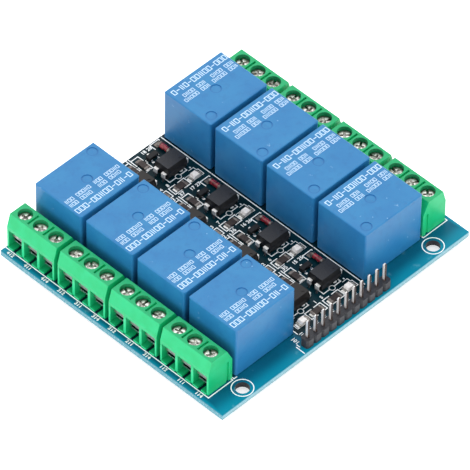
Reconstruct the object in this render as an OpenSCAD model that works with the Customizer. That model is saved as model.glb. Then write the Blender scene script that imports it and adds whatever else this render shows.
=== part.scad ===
// Eight-channel relay module board.
// Two rows of sealed relays stand on a circuit board, with screw terminals outside each row, a strip of
// optocouplers and small driver parts between the rows, and a pin header on the front edge.
// X runs across the board, Y along the rows with the header at the front (-Y), and Z is up.
// The origin is the middle of the board's underside.

/* [Layout] */
// Relays in each of the two rows
rows = 4; // [2:1:6]
// Width of the strip between the two rows of relays
strip_w = 23.2; // [21:0.1:40]
// Smallest gap between one relay and the next
relay_gap = 1.35; // [0.4:0.05:6]
// Smallest gap between one terminal block and the next
block_gap = 1.2; // [0.2:0.05:6]
// Gap between a relay and the terminal block behind it
block_setback = 0.85; // [0.2:0.05:6]
// How far each terminal block stands back from the middle of its relay
block_shift = 0.45; // [-0.2:0.05:0.6]
// Board left clear outside the left-hand terminals
left_margin = 2; // [0.5:0.1:20]
// Board left clear outside the right-hand terminals
right_margin = 1.3; // [0.5:0.1:20]
// Board left clear behind the last relays
back_margin = 0.7; // [0.4:0.05:20]
// Board left clear in front of the first relays, where the header stands
front_margin = 6.15; // [5:0.05:20]

/* [Board] */
// Thickness of the circuit board
board_t = 1.6; // [0.8:0.1:3.2]
// Diameter of the two mounting holes
mount_hole_d = 3.5; // [2:0.1:4.4]
// From a side edge of the board to the middle of its mounting hole
mount_hole_side = 9.25; // [4:0.05:12]
// From the front edge of the board to the middle of a mounting hole
mount_hole_front = 2.75; // [2.5:0.05:6]
// Clearance all round a lead in its drilled hole
lead_play = 0.1; // [0.05:0.01:0.3]
// How far the long leads stick out below the board
lead_tip = 1.5; // [0.5:0.1:3]

/* [Relay case and base] */
// Length of a relay, across the board
relay_l = 19; // [15.8:0.1:24]
// Width of a relay, along its row
relay_w = 15.4; // [14.5:0.1:20]
// Height of a relay above the board
relay_h = 15.3; // [12.5:0.1:22]
// Wall of the relay's case
case_wall = 0.8; // [0.5:0.05:1.2]
// Radius of the case's upright edges
case_edge_r = 0.5; // [0.2:0.05:0.8]
// Radius of the case's top edges
case_top_r = 0.35; // [0.1:0.05:0.6]
// Diameter of the round marks that the mould's ejector pins leave in the top
ejector_d = 2.7; // [1:0.1:3]
// Depth of the ejector marks
ejector_depth = 0.15; // [0.05:0.01:0.3]
// Gap under the case and the base
standoff = 0.3; // [0.1:0.05:1]
// Thickness of the base plate
base_t = 1.5; // [1:0.1:2.2]
// Clearance between the base plate and the case around it
base_play = 0.1; // [0.05:0.01:0.3]
// Diameter of the feet under the base plate
foot_d = 1.4; // [0.8:0.1:1.8]

/* [Relay works] */
// From the end of the case to the contact pins, and to the common pin at the other end
pin_inset = 2.4; // [2.1:0.05:2.8]
// From the end of the case to the coil pins
coil_pin_inset = 4.4; // [3.6:0.05:5]
// From the side of the case to the outer pins
pin_side = 1.7; // [1.4:0.05:2]
// Width of a contact pin
contact_pin_w = 1; // [0.6:0.05:1.4]
// Diameter of a coil pin
coil_pin_d = 0.6; // [0.4:0.05:0.8]
// Thickness of the iron yoke
yoke_t = 1.2; // [0.8:0.05:1.4]
// Width of the yoke and the armature
yoke_w = 9; // [7:0.1:9.6]
// Diameter of the winding
coil_d = 9.4; // [7:0.1:9.8]
// Diameter of the iron core in the bobbin
core_d = 4; // [2.5:0.1:5]
// Diameter of the pole face on top of the core
pole_d = 6.5; // [5.2:0.1:7.5]
// Thickness of the pole face
pole_t = 0.55; // [0.3:0.05:0.8]
// Thickness of the bobbin's flanges
flange_t = 0.8; // [0.5:0.05:1.2]
// Length of the armature, from the back of the yoke
armature_l = 11.8; // [9:0.1:12.2]
// Thickness of the armature
armature_t = 1; // [0.6:0.05:1.3]
// Least clearance between the free end of the armature and the contacts
armature_play = 0.3; // [0.1:0.05:0.6]
// Gap between the pole face and the armature at rest
air_gap = 0.3; // [0.1:0.05:0.5]
// Thickness of the contact spring
spring_t = 0.2; // [0.1:0.05:0.3]
// Width of the contact spring
spring_w = 4; // [2:0.1:5]
// Diameter of the contact buttons
contact_d = 1.8; // [1.2:0.1:2]
// Height of a fixed contact button above its strip
contact_h = 0.4; // [0.2:0.05:0.6]
// Thickness of the fixed contact strips
strip_t = 0.4; // [0.2:0.05:0.5]
// Width of the fixed contact strips
contact_strip_w = 2; // [1.6:0.1:2.4]

/* [Terminal block housing] */
// Wires that one block takes
poles = 3; // [2:1:3]
// Distance from one wire to the next
pole_pitch = 5.08; // [4.8:0.01:6.2]
// Extra length of the block past its outer poles, at each end
block_end = 0.15; // [0.1:0.05:1]
// Depth of the block from its wire face to its back
block_d = 7.7; // [7:0.1:10]
// Height of the block
block_h = 10.3; // [8.8:0.1:13]
// How far the front leans back from the top of the wire openings to the block's top
front_lean = 1; // [0:0.05:1.2]
// How far the back leans in towards the top
back_lean = 1.8; // [0:0.05:2]
// Height of the sloping part of the back
back_slope_h = 3.7; // [1:0.1:5]
// Thickness of the front wall beside the wire openings
front_wall = 0.8; // [0.5:0.05:1]
// Thickness of the back wall
back_wall = 1.4; // [0.8:0.05:1.8]
// Width of the pillars between the wire openings
pillar_w = 0.78; // [0.5:0.02:1.2]
// Thickness of the roof over the clamps
roof_t = 2.3; // [1.6:0.05:2.6]
// Wall of the front above the wire openings, measured down from the roof
brow_h = 2.2; // [1.6:0.05:2.6]
// Thickness of the sill under each wire opening
sill_t = 0.5; // [0.3:0.05:0.9]
// Depth of the sill, back under the clamp
sill_d = 3; // [1:0.1:3.2]
// How far the sill stands out from the front
sill_proud = 0.2; // [0:0.05:0.4]
// Width of the slot in the middle of each sill
sill_slot_w = 1; // [0.6:0.1:2]
// Width of the marking grooves between the screws
groove_w = 0.6; // [0.2:0.05:0.8]
// Depth of the marking grooves
groove_depth = 0.7; // [0.3:0.05:1]
// Width of the upright key groove in each end face
key_w = 0.75; // [0.3:0.05:1]
// Depth of the key groove
key_depth = 0.3; // [0.2:0.05:0.35]

/* [Terminal clamp and screw] */
// Clearance at each side of the clamp cage in its chamber
cage_play = 0.15; // [0.05:0.01:0.3]
// From the wire face to the front of the cage
cage_setback = 1.5; // [1.2:0.05:1.6]
// Thickness of the cage's sides and floor
cage_t = 0.4; // [0.3:0.05:0.6]
// Thickness of the threaded top of the cage
cage_top_t = 1; // [0.7:0.05:1.3]
// Height of the cage's underside above the board
cage_floor_h = 2.1; // [1.2:0.1:2.3]
// How far the cage's floor reaches forward of its front, as a lower lip for the wire
cage_lip = 0.45; // [0:0.05:0.6]
// Size of the solder pin under the cage, along and across the block
solder_pin = [0.8, 0.9]; // [0.5:0.05:1]
// Thickness of the sheet-metal wire guard
guard_t = 0.3; // [0.2:0.05:0.4]
// Diameter of the screw's head
screw_head_d = 3.4; // [2.8:0.05:3.8]
// Height of the screw's head
screw_head_h = 1.25; // [0.8:0.05:1.5]
// Diameter of the screw's shank
screw_shank_d = 2.6; // [1.8:0.05:2.8]
// Width of the slot in the screw's head
screw_slot_w = 0.6; // [0.4:0.05:0.8]
// Depth of the slot in the screw's head
screw_slot_depth = 0.7; // [0.3:0.05:0.75]
// Clearance around the screw's head in its well
well_play = 0.13; // [0.05:0.01:0.3]
// Clearance around the screw's shank in the cage
thread_play = 0.05; // [0.02:0.01:0.1]

/* [Header] */
// Pins in the header
header_count = 11; // [3:1:18]
// Distance from one pin to the next
header_pitch = 2.54; // [2.3:0.01:3]
// Distance of the header's middle from the middle of the board
header_x = 1.3; // [-4:0.1:4]
// From the front edge of the board to the row of pins
header_inset = 1.75; // [1.5:0.05:2.5]
// Height of the plastic strip
header_strip_h = 2.54; // [1.5:0.1:4]
// Depth of the plastic strip
header_strip_d = 2.5; // [2:0.1:3]
// Side of the square pins
header_pin_w = 0.64; // [0.5:0.02:0.8]
// Height of the pins' tips above the board
header_pin_h = 7.9; // [5:0.1:14]

/* [Optocoupler] */
// Distance of the optocoupler from the middle of the strip
opto_x = 5.15; // [4.6:0.05:6]
// Place of the optocoupler along the row, from the middle of its relay
opto_y = -1.1; // [-1.5:0.05:-0.9]
// Length of the moulded body, across the board
opto_l = 6.4; // [5.5:0.1:7]
// Width of the moulded body
opto_w = 4.6; // [4:0.1:5]
// Height of the moulded body
opto_h = 3.5; // [2.8:0.1:4.2]
// Gap under the body
opto_lift = 0.5; // [0.2:0.05:0.8]
// How far the sides of the body lean in, at its top and its bottom
opto_draft = 0.25; // [0.1:0.05:0.5]
// Distance between the two rows of leads
opto_row_gap = 7.62; // [7.4:0.02:8]
// Distance between the two leads of a row
opto_pitch = 2.54; // [2:0.02:2.8]
// Thickness of the lead frame
opto_lead_t = 0.25; // [0.15:0.01:0.3]
// Width of a lead at its shoulder
opto_shoulder_w = 1.2; // [0.8:0.05:1.5]
// Width of a lead where it goes through the board
opto_lead_w = 0.5; // [0.4:0.05:0.7]
// How far the leads stick out below the board
opto_tip = 1.2; // [0.5:0.1:2]

/* [Transistor and diode] */
// Distance of the transistor from the middle of the strip
transistor_x = 4.95; // [4.4:0.05:5.8]
// Place of the transistor along the row, from the middle of its relay
transistor_y = 4.85; // [4.5:0.05:5.4]
// Size of the transistor's body
transistor_size = [2.9, 1.3, 1]; // [0.8:0.1:3.2]
// Width of the transistor's leads
transistor_lead_w = 0.45; // [0.3:0.05:0.6]
// Reach of the leads, from the front tip to the back tip
transistor_reach = 2.5; // [2.2:0.05:2.8]
// Distance of the diode from the middle of the strip
diode_x = 8.8; // [8:0.05:9.4]
// Place of the diode along the row, from the middle of its relay
diode_y = 4.5; // [4.2:0.05:5.4]
// Length of the diode with its end caps
diode_l = 3.5; // [3:0.1:4]
// Diameter of the diode's end caps
diode_d = 1.6; // [1.2:0.05:2]
// Length of a diode's end cap
diode_cap_l = 0.5; // [0.3:0.05:0.8]

/* [Chip parts] */
// Length of a chip resistor or an indicator lamp
chip_l = 3.2; // [2.8:0.1:3.4]
// Width of a chip resistor or an indicator lamp
chip_w = 1.6; // [1.2:0.1:1.8]
// Height of a chip resistor
chip_h = 0.6; // [0.4:0.05:0.9]
// Length of the metal at each end
chip_end_l = 0.5; // [0.3:0.05:0.8]
// Height of an indicator lamp
led_h = 1.1; // [0.8:0.05:1.6]
// Distance of the upright resistors from the middle of the strip
base_resistor_x = 1.5; // [1:0.05:1.8]
// Place of the upright resistors along the row, from the middle of the relay
base_resistor_y = 4.45; // [4:0.05:5]
// Distance of the level resistors from the middle of the strip
lamp_resistor_x = 2.9; // [2.2:0.05:3.4]
// Place of the lamps and the level resistors along the row, from the middle of the relay
lamp_y = -6.6; // [-7:0.05:-6.4]
// Distance of the lamps from the middle of the strip
lamp_x = 7.65; // [7.2:0.05:8.4]

/* [Hidden] */
$fn = 48;
channels = 2*rows;

// Layout of the board, worked out from what it carries
block_l = poles*pole_pitch + 2*block_end;
pitch = max(relay_w + relay_gap, block_l + block_gap);
wire_face = strip_w/2 + relay_l + block_setback + block_d;
board_w = 2*wire_face + left_margin + right_margin;
board_l = back_margin + relay_w + (rows - 1)*pitch + front_margin;
strip_x = (left_margin - right_margin)/2;

// Relay, in its own frame: the middle of its footprint, with the coil end at +X
inner_end = relay_l/2 - case_wall;
inner_side = relay_w/2 - case_wall;
ceiling = relay_h - case_wall;
base_top = standoff + base_t;
pin_bottom = -board_t - lead_tip;
foot_place = [2.8, 3.6];
ejector_marks = [[relay_l/2 - pin_inset, 5.6], [0.1, 0.15]];
contact_x = pin_inset - relay_l/2;
common_x = relay_l/2 - pin_inset;
coil_pin_x = relay_l/2 - coil_pin_inset;
pin_y = relay_w/2 - pin_side;

// The stack of moving and fixed contacts, counted down from the ceiling
strip_headroom = 0.2;
contact_proud = 0.2;
contact_gap = 0.3;
nc_strip_z = ceiling - strip_headroom - strip_t;
moving_top = nc_strip_z - contact_h;
spring_z = moving_top - contact_proud - spring_t;
moving_bottom = spring_z - contact_proud;
no_strip_z = moving_bottom - contact_gap - contact_h - strip_t;
yoke_top = spring_z - armature_t;
pole_top = yoke_top - air_gap;
bobbin_top = pole_top - pole_t;
yoke_floor = base_top + yoke_t;

// The magnet, counted in from the coil end
spring_room = 0.4;
spring_stand_off = 0.05;
coil_room = 0.2;
yoke_back = inner_end - spring_room;
core_x = yoke_back - yoke_t - coil_room - coil_d/2;
flange_l = coil_d + coil_room;
flange_low_w = 2*pin_y + 1.2;
flange_high_w = coil_d + 1.4;
yoke_toe = 0.5;
core_play = 0.1;
leaf_overhang = 0.8;
spring_tail_l = 6;

// Terminal block, in its own frame: the foot of its wire face, with +X into the block
chamber_w = pole_pitch - pillar_w;
chamber_top = block_h - roof_t;
chamber_end = block_d - back_wall;
opening_top = chamber_top - brow_h;
brow_break = 1;
cage_roof_gap = 0.1;
cage_back_gap = 1;
cage_w = chamber_w - 2*cage_play;
cage_l = chamber_end - cage_setback - cage_back_gap;
cage_top = chamber_top - cage_roof_gap;
cage_ceiling = cage_top - cage_top_t;
screw_u = cage_setback + cage_l/2;
solder_pin_u = screw_u + 0.45;
guard_top = cage_ceiling - guard_t;
guard_drop = 0.65;
guard_play = 0.05;
leaf_reach = 0.3;
head_seat = 0.05;
well_d = screw_head_d + 2*well_play;
groove_front_inset = 0.65;
groove_back_inset = 0.6;
key_inset = 1.5;
key_stop = 0.15;

// Drilled holes
solder_hole_d = norm(solder_pin) + 2*lead_play;
contact_hole_d = norm([contact_pin_w, strip_t]) + 2*lead_play;
coil_hole_d = coil_pin_d + 2*lead_play;
header_hole_d = header_pin_w*sqrt(2) + 2*lead_play;
opto_hole_d = norm([opto_lead_w, opto_lead_t]) + 2*lead_play;

// Small parts
header_y = header_inset - board_l/2;
header_bevel = 0.35;
header_cell_cut = 0.5;
header_play = 0.02;
parting_band = 0.3;
transistor_lead_t = 0.12;
transistor_lift = 0.05;
transistor_pair_gap = 1.9;
glass_inset = 0.08;
lens_inset = 0.35;
lamp_base_h = 0.5;
overcut = 1;

function numbered(name) = [for (i = [1 : channels]) str(name, "_", i)];

// ---- Places ----
// Channels 1 to rows stand on the left from front to back, and the rest on the right

left_channels = [1 : rows];
right_channels = [rows + 1 : channels];
all_channels = [1 : channels];
function side(i) = i <= rows ? -1 : 1;
function row(i) = (i - 1) % rows;
function row_y(i) = board_l/2 - back_margin - relay_w/2 - (rows - 1 - row(i))*pitch;
function pole_y(k) = (k - (poles - 1)/2)*pole_pitch;
function header_pin_x(k) = header_x + (k - (header_count - 1)/2)*header_pitch;

// Turns its children so that local +X points at the middle of the board
module facing_in(i) {
    rotate([0, 0, side(i) < 0 ? 0 : 180]) children();
}

module at_relay(i) {
    translate([strip_x + side(i)*(strip_w + relay_l)/2, row_y(i), board_t])
        facing_in(i) children();
}

module at_block(i) {
    translate([strip_x + side(i)*wire_face, row_y(i) + block_shift, board_t])
        facing_in(i) children();
}

module at_each_pole() {
    for (k = [0 : poles - 1]) translate([0, pole_y(k), 0]) children();
}

// A place in the middle strip, x from its middle towards the channel's relay and y from that relay's middle
module at_channel(i, x, y) {
    translate([strip_x + side(i)*x, row_y(i) + y, board_t]) children();
}

module at_header_pins() {
    for (k = [0 : header_count - 1]) translate([header_pin_x(k), header_y, board_t]) children();
}

module at_opto_leads(i) {
    at_channel(i, opto_x, opto_y)
        for (end = [-1, 1], k = [-1, 1])
            translate([0, k*opto_pitch/2, 0]) rotate([0, 0, end < 0 ? 180 : 0]) children();
}

// ---- Shared shapes ----

// A box from its lowest corner to its highest
module span(a, b) {
    translate(a) cube(b - a);
}

module rounded_rect(size, r) {
    square([size[0] - 2*r, size[1]], center = true);
    square([size[0], size[1] - 2*r], center = true);
    for (sx = [-1, 1], sy = [-1, 1])
        translate([sx*(size[0]/2 - r), sy*(size[1]/2 - r)]) circle(r);
}

// Stands a 2D profile of X and Z up, and gives it a width along Y
module profile_xz(width) {
    rotate([90, 0, 0]) linear_extrude(height = width, center = true) children();
}

// Stands a 2D profile of Y and Z up, and gives it a width along X
module profile_yz(width) {
    rotate([90, 0, 90]) linear_extrude(height = width, center = true) children();
}

// An upright rectangle with its two top corners rounded
module round_topped(width, bottom, top, r) {
    translate([-width/2, bottom]) square([width, top - bottom - r]);
    translate([r - width/2, bottom]) square([width - 2*r, top - bottom]);
    for (s = [-1, 1]) translate([s*(width/2 - r), top - r]) circle(r);
}

// A square pin with a bevel on all four sides of both ends
module square_pin(w, bottom, top, bevel) {
    intersection() {
        profile_xz(w) pin_outline(w, bottom, top, bevel);
        profile_yz(w) pin_outline(w, bottom, top, bevel);
    }
}

module pin_outline(w, bottom, top, bevel) {
    tip = w/4;
    polygon([[-tip, bottom], [tip, bottom], [w/2, bottom + bevel], [w/2, top - bevel],
             [tip, top], [-tip, top], [-w/2, top - bevel], [-w/2, bottom + bevel]]);
}

module drill(d) {
    translate([0, 0, -board_t - overcut]) cylinder(d = d, h = board_t + 2*overcut);
}

// ---- Circuit board ----

module circuit_board() {
    color("#0b7d99") difference() {
        translate([-board_w/2, -board_l/2, 0]) cube([board_w, board_l, board_t]);
        for (s = [-1, 1])
            translate([s*(board_w/2 - mount_hole_side), mount_hole_front - board_l/2, board_t])
                drill(mount_hole_d);
        for (i = all_channels) {
            at_block(i) at_each_pole() translate([solder_pin_u, 0, 0]) drill(solder_hole_d);
            at_relay(i) {
                at_relay_contact_pins() drill(contact_hole_d);
                at_relay_coil_pins() drill(coil_hole_d);
            }
            at_opto_leads(i) translate([opto_row_gap/2, 0, 0]) drill(opto_hole_d);
        }
        at_header_pins() drill(header_hole_d);
    }
}

// ---- Relay ----

module at_relay_contact_pins() {
    translate([common_x, 0, 0]) children();
    for (s = [-1, 1]) translate([contact_x, s*pin_y, 0]) children();
}

module at_relay_coil_pins() {
    for (s = [-1, 1]) translate([coil_pin_x, s*pin_y, 0]) children();
}

module relay_case() {
    color("#1f66a8") difference() {
        intersection() {
            linear_extrude(height = relay_h) rounded_rect([relay_l, relay_w], case_edge_r);
            profile_xz(relay_w) round_topped(relay_l, standoff, relay_h, case_top_r);
            profile_yz(relay_l) round_topped(relay_w, standoff, relay_h, case_top_r);
        }
        span([-inner_end, -inner_side, 0], [inner_end, inner_side, ceiling]);
        for (p = ejector_marks)
            translate([p[0], p[1], relay_h - ejector_depth]) cylinder(d = ejector_d, h = overcut);
    }
}

module relay_base() {
    half_l = inner_end - base_play;
    half_w = inner_side - base_play;
    color("#15181b") difference() {
        union() {
            span([-half_l, -half_w, standoff], [half_l, half_w, base_top]);
            for (sx = [-1, 1], sy = [-1, 1])
                translate([sx*(half_l - foot_place[0]), sy*(half_w - foot_place[1]), 0])
                    cylinder(d = foot_d, h = base_top);
        }
        at_relay_contact_pins() cylinder(d = contact_hole_d, h = base_top + overcut);
        at_relay_coil_pins() cylinder(d = coil_hole_d, h = base_top + overcut);
    }
}

// The wound bobbin: its lower flange carries the two coil pins
module relay_coil() {
    color("#b5652b") difference() {
        union() {
            translate([core_x - flange_l/2, -flange_low_w/2, yoke_floor])
                cube([flange_l, flange_low_w, flange_t]);
            translate([core_x - flange_l/2, -flange_high_w/2, bobbin_top - flange_t])
                cube([flange_l, flange_high_w, flange_t]);
            translate([core_x, 0, yoke_floor]) cylinder(d = coil_d, h = bobbin_top - yoke_floor);
        }
        translate([core_x, 0, 0]) cylinder(d = core_d + 2*core_play, h = relay_h);
        at_relay_coil_pins() cylinder(d = coil_pin_d + core_play, h = bobbin_top - flange_t);
    }
}

// The bent yoke with the core riveted into it
module relay_yoke() {
    toe = core_x - coil_d/2 - yoke_toe;
    color("#9aa0a6") union() {
        profile_xz(yoke_w) polygon([
            [toe, base_top], [yoke_back, base_top], [yoke_back, yoke_top],
            [yoke_back - yoke_t, yoke_top], [yoke_back - yoke_t, yoke_floor], [toe, yoke_floor]
        ]);
        translate([core_x, 0, base_top]) cylinder(d = core_d, h = pole_top - base_top);
        translate([core_x, 0, bobbin_top]) cylinder(d = pole_d, h = pole_t);
    }
}

module relay_armature() {
    contact_front = contact_x + max(contact_d, contact_strip_w)/2;
    free_end = max(yoke_back - armature_l, contact_front + armature_play);
    color("#8b9197")
        span([free_end, -yoke_w/2, yoke_top], [yoke_back, yoke_w/2, spring_z]);
}

// The leaf spring over the armature, bent down behind the yoke, with the moving contact at its free end
module relay_contact_spring() {
    leaf_end = contact_x - leaf_overhang;
    back = yoke_back + spring_stand_off;
    tail = yoke_top - spring_tail_l;
    color("#c08a4a") union() {
        profile_xz(spring_w) polygon([
            [leaf_end, spring_z], [back, spring_z], [back, tail], [back + spring_t, tail],
            [back + spring_t, spring_z + spring_t], [leaf_end, spring_z + spring_t]
        ]);
        translate([contact_x, 0, moving_bottom]) cylinder(d = contact_d, h = moving_top - moving_bottom);
    }
}

// A fixed contact: the pin, the strip bent over towards the middle and its contact button.
// The strip's own underside is at height z, and the button stands on its upper or its lower face.
module relay_fixed_contact(s, z, button_above) {
    button_z = button_above ? z : z - contact_h;
    outer = s*(pin_y + strip_t/2);
    inner = s*(pin_y - strip_t/2);
    reach = -s*contact_d/2;
    union() {
        translate([contact_x, 0, 0]) {
            profile_yz(contact_strip_w) polygon([
                [outer, base_top], [outer, z + strip_t], [reach, z + strip_t],
                [reach, z], [inner, z], [inner, base_top]
            ]);
            translate([0, 0, button_z]) cylinder(d = contact_d, h = contact_h + strip_t);
        }
        translate([contact_x, s*pin_y, (base_top + pin_bottom)/2])
            cube([contact_pin_w, strip_t, base_top - pin_bottom], center = true);
    }
}

module relay_terminals() {
    color("#c9ced2") {
        relay_fixed_contact(1, no_strip_z, true);
        relay_fixed_contact(-1, nc_strip_z, false);
        translate([common_x, 0, (base_top + pin_bottom)/2])
            cube([strip_t, contact_pin_w, base_top - pin_bottom], center = true);
        at_relay_coil_pins() translate([0, 0, pin_bottom])
            cylinder(d = coil_pin_d, h = yoke_floor + flange_t - pin_bottom);
    }
}

// ---- Terminal block ----

// The end view of the housing
module block_profile() {
    polygon([
        [0, 0], [0, opening_top + brow_break], [front_lean, block_h],
        [block_d - back_lean, block_h], [block_d, block_h - back_slope_h], [block_d, 0]
    ]);
}

// What is taken out for one pole: the chamber for the clamp, the wire opening in front and the screw's well
module pole_cavity() {
    half_w = chamber_w/2;
    span([front_wall, -half_w, -overcut], [chamber_end, half_w, chamber_top]);
    span([-overcut, -half_w, -overcut], [front_wall + overcut, half_w, opening_top]);
    translate([screw_u, 0, chamber_top - overcut]) cylinder(d = well_d, h = roof_t + 2*overcut);
}

module sill() {
    for (s = [-1, 1])
        translate([-sill_proud, s > 0 ? sill_slot_w/2 : -chamber_w/2, 0])
            cube([sill_d, (chamber_w - sill_slot_w)/2, sill_t]);
}

// A groove across the top between two screws
module marking_groove() {
    span([front_lean + groove_front_inset, -groove_w/2, block_h - groove_depth],
         [block_d - back_lean - groove_back_inset, groove_w/2, block_h + overcut]);
}

// The upright groove in an end face, where a neighbouring block would key in
module key_groove() {
    key_u = block_d - key_inset;
    span([key_u - key_w/2, -key_depth, -overcut],
         [key_u + key_w/2, overcut, block_h - back_slope_h - key_stop]);
}

module terminal_housing() {
    color("#3fe08c") union() {
        difference() {
            profile_xz(block_l) block_profile();
            at_each_pole() pole_cavity();
            for (k = [1 : poles - 1])
                translate([0, pole_y(k) - pole_pitch/2, 0]) marking_groove();
            for (s = [0, 1]) mirror([0, s, 0]) translate([0, block_l/2, 0]) key_groove();
        }
        at_each_pole() sill();
    }
}

// The box-shaped cage that holds a wire, with a lip in front
// and the pin under it that is soldered into the board
module clamp() {
    lip_half = cage_w/2 - cage_t;
    color("#c4c8cc") difference() {
        union() {
            translate([screw_u, 0, (cage_floor_h + cage_top)/2])
                cube([cage_l, cage_w, cage_top - cage_floor_h], center = true);
            span([cage_setback - cage_lip, -lip_half, cage_floor_h],
                 [cage_setback + cage_t, lip_half, cage_floor_h + cage_t]);
            translate([solder_pin_u, 0, 0])
                square_shank(solder_pin, pin_bottom, cage_floor_h + cage_t);
        }
        translate([0, 0, (cage_floor_h + cage_t + cage_ceiling)/2])
            cube([4*block_d, cage_w - 2*cage_t, cage_ceiling - cage_floor_h - cage_t], center = true);
        translate([screw_u, 0, cage_ceiling - overcut])
            cylinder(d = screw_shank_d + 2*thread_play, h = cage_top_t + 2*overcut);
    }
}

module square_shank(size, bottom, top) {
    translate([-size[0]/2, -size[1]/2, bottom]) cube([size[0], size[1], top - bottom]);
}

// The bent leaf between the screw and the wire: its flange hangs in front of the cage
module wire_guard() {
    flange_front = cage_setback - guard_play - guard_t;
    flange_bottom = cage_floor_h + cage_t + guard_drop;
    leaf_end = screw_u + screw_shank_d/2 + leaf_reach;
    leaf_w = cage_w - 2*cage_t - 4*guard_play;
    color("#d8dadb") {
        translate([flange_front, 0, 0])
            span([0, -cage_w/2, flange_bottom], [guard_t, cage_w/2, guard_top]);
        span([flange_front, -leaf_w/2, guard_top - guard_t], [leaf_end, leaf_w/2, guard_top]);
    }
}

// A screw with a slot and a shorter cross cut, turned as it was last left
module terminal_screw(turn) {
    head_z = cage_top + head_seat;
    cross_l = 0.65*screw_head_d;
    translate([screw_u, 0, 0]) rotate([0, 0, turn]) color("#dfe1e3") difference() {
        union() {
            translate([0, 0, guard_top]) cylinder(d = screw_shank_d, h = head_z - guard_top + 0.1);
            translate([0, 0, head_z]) cylinder(d = screw_head_d, h = screw_head_h);
        }
        translate([0, 0, head_z + screw_head_h]) {
            cube([2*screw_head_d, screw_slot_w, 2*screw_slot_depth], center = true);
            cube([screw_slot_w, cross_l, 2*screw_slot_depth], center = true);
        }
    }
}

// Each screw stops at its own angle
function screw_turn(i, k) = (53*i + 71*k) % 180;

module terminal_screws(group) {
    for (i = group, k = [0 : poles - 1])
        at_block(i) translate([0, pole_y(k), 0]) terminal_screw(screw_turn(i, k));
}

module clamps(group) {
    for (i = group) at_block(i) at_each_pole() clamp();
}

module wire_guards(group) {
    for (i = group) at_block(i) at_each_pole() wire_guard();
}

// ---- Header ----

// The strip is a row of eight-sided cells, one to a pin
module header_strip() {
    hole_w = header_pin_w + 2*header_play;
    color("#1a1c1f") difference() {
        union() at_header_pins() linear_extrude(height = header_strip_h) header_cell();
        at_header_pins() translate([0, 0, header_strip_h/2])
            cube([hole_w, hole_w, 2*header_strip_h], center = true);
    }
}

module header_cell() {
    half_w = header_pitch/2;
    half_d = header_strip_d/2;
    cut = header_cell_cut;
    polygon([
        [-half_w, half_d - cut], [cut - half_w, half_d], [half_w - cut, half_d], [half_w, half_d - cut],
        [half_w, cut - half_d], [half_w - cut, -half_d], [cut - half_w, -half_d], [-half_w, cut - half_d]
    ]);
}

module header_pins() {
    color("#d6cfae") at_header_pins() square_pin(header_pin_w, pin_bottom, header_pin_h, header_bevel);
}

// ---- Optocoupler ----

// A moulded side: straight at the parting band and leaning in above and below it
module moulded_side(length) {
    middle = opto_lift + opto_h/2;
    top = opto_lift + opto_h;
    half = length/2;
    narrow = half - opto_draft;
    polygon([
        [-narrow, opto_lift], [narrow, opto_lift], [half, middle - parting_band/2],
        [half, middle + parting_band/2], [narrow, top], [-narrow, top],
        [-half, middle + parting_band/2], [-half, middle - parting_band/2]
    ]);
}

module optocoupler() {
    mark = [1.6, -1.5];
    color("#17191c") difference() {
        intersection() {
            profile_xz(opto_w) moulded_side(opto_l);
            profile_yz(opto_l) moulded_side(opto_w);
        }
        translate([mark[0], mark[1], opto_lift + opto_h - 0.1]) cylinder(d = 0.9, h = overcut);
    }
}

// One lead, out of the body, down its wide shoulder and narrow through the board
module optocoupler_lead() {
    middle = opto_lift + opto_h/2;
    outer = opto_row_gap/2 + opto_lead_t/2;
    shoulder_bottom = 0.9;
    color("#d2d5d8") {
        profile_xz(opto_shoulder_w) polygon([
            [opto_l/2, middle - opto_lead_t/2], [outer - opto_lead_t, middle - opto_lead_t/2],
            [outer - opto_lead_t, shoulder_bottom], [outer, shoulder_bottom],
            [outer, middle + opto_lead_t/2], [opto_l/2, middle + opto_lead_t/2]
        ]);
        span([outer - opto_lead_t, -opto_lead_w/2, -board_t - opto_tip],
             [outer, opto_lead_w/2, shoulder_bottom + opto_lead_w/2]);
    }
}

// ---- Transistor and diode ----

module transistor() {
    color("#1b1c1e") translate([0, 0, transistor_lift + transistor_size[2]/2])
        cube(transistor_size, center = true);
}

// A gull-wing lead on the side of the body that faces -Y
module gull_wing() {
    body = transistor_size[1]/2;
    toe = transistor_reach/2;
    knee = (body + toe)/2;
    t = transistor_lead_t;
    level = transistor_lift + transistor_size[2]/2;
    profile_yz(transistor_lead_w) polygon([
        [-body, level], [-knee, level], [-knee, t], [-toe, t], [-toe, 0],
        [t - knee, 0], [t - knee, level - t], [-body, level - t]
    ]);
}

module transistor_leads() {
    color("#cfd2d5") {
        for (s = [-1, 1]) translate([s*transistor_pair_gap/2, 0, 0]) gull_wing();
        rotate([0, 0, 180]) gull_wing();
    }
}

module lying_cylinder(d, a, b) {
    translate([0, b, diode_d/2]) rotate([90, 0, 0]) cylinder(d = d, h = b - a);
}

module diode_body() {
    half = diode_l/2 - diode_cap_l;
    color("#b3402a") lying_cylinder(diode_d - 2*glass_inset, -half, half);
}

module diode_ends() {
    for (s = [-1, 1])
        color("#d5d8da") lying_cylinder(diode_d, s*diode_l/2 - (s > 0 ? diode_cap_l : 0),
                                        s*diode_l/2 + (s > 0 ? 0 : diode_cap_l));
}

// ---- Chip parts ----

module chip_ends(height) {
    for (s = [-1, 1])
        translate([s*(chip_l - chip_end_l)/2, 0, height/2])
            cube([chip_end_l, chip_w, height], center = true);
}

module resistor_body() {
    color("#1d1e20") translate([0, 0, chip_h/2])
        cube([chip_l - 2*chip_end_l, chip_w, chip_h], center = true);
}

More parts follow.
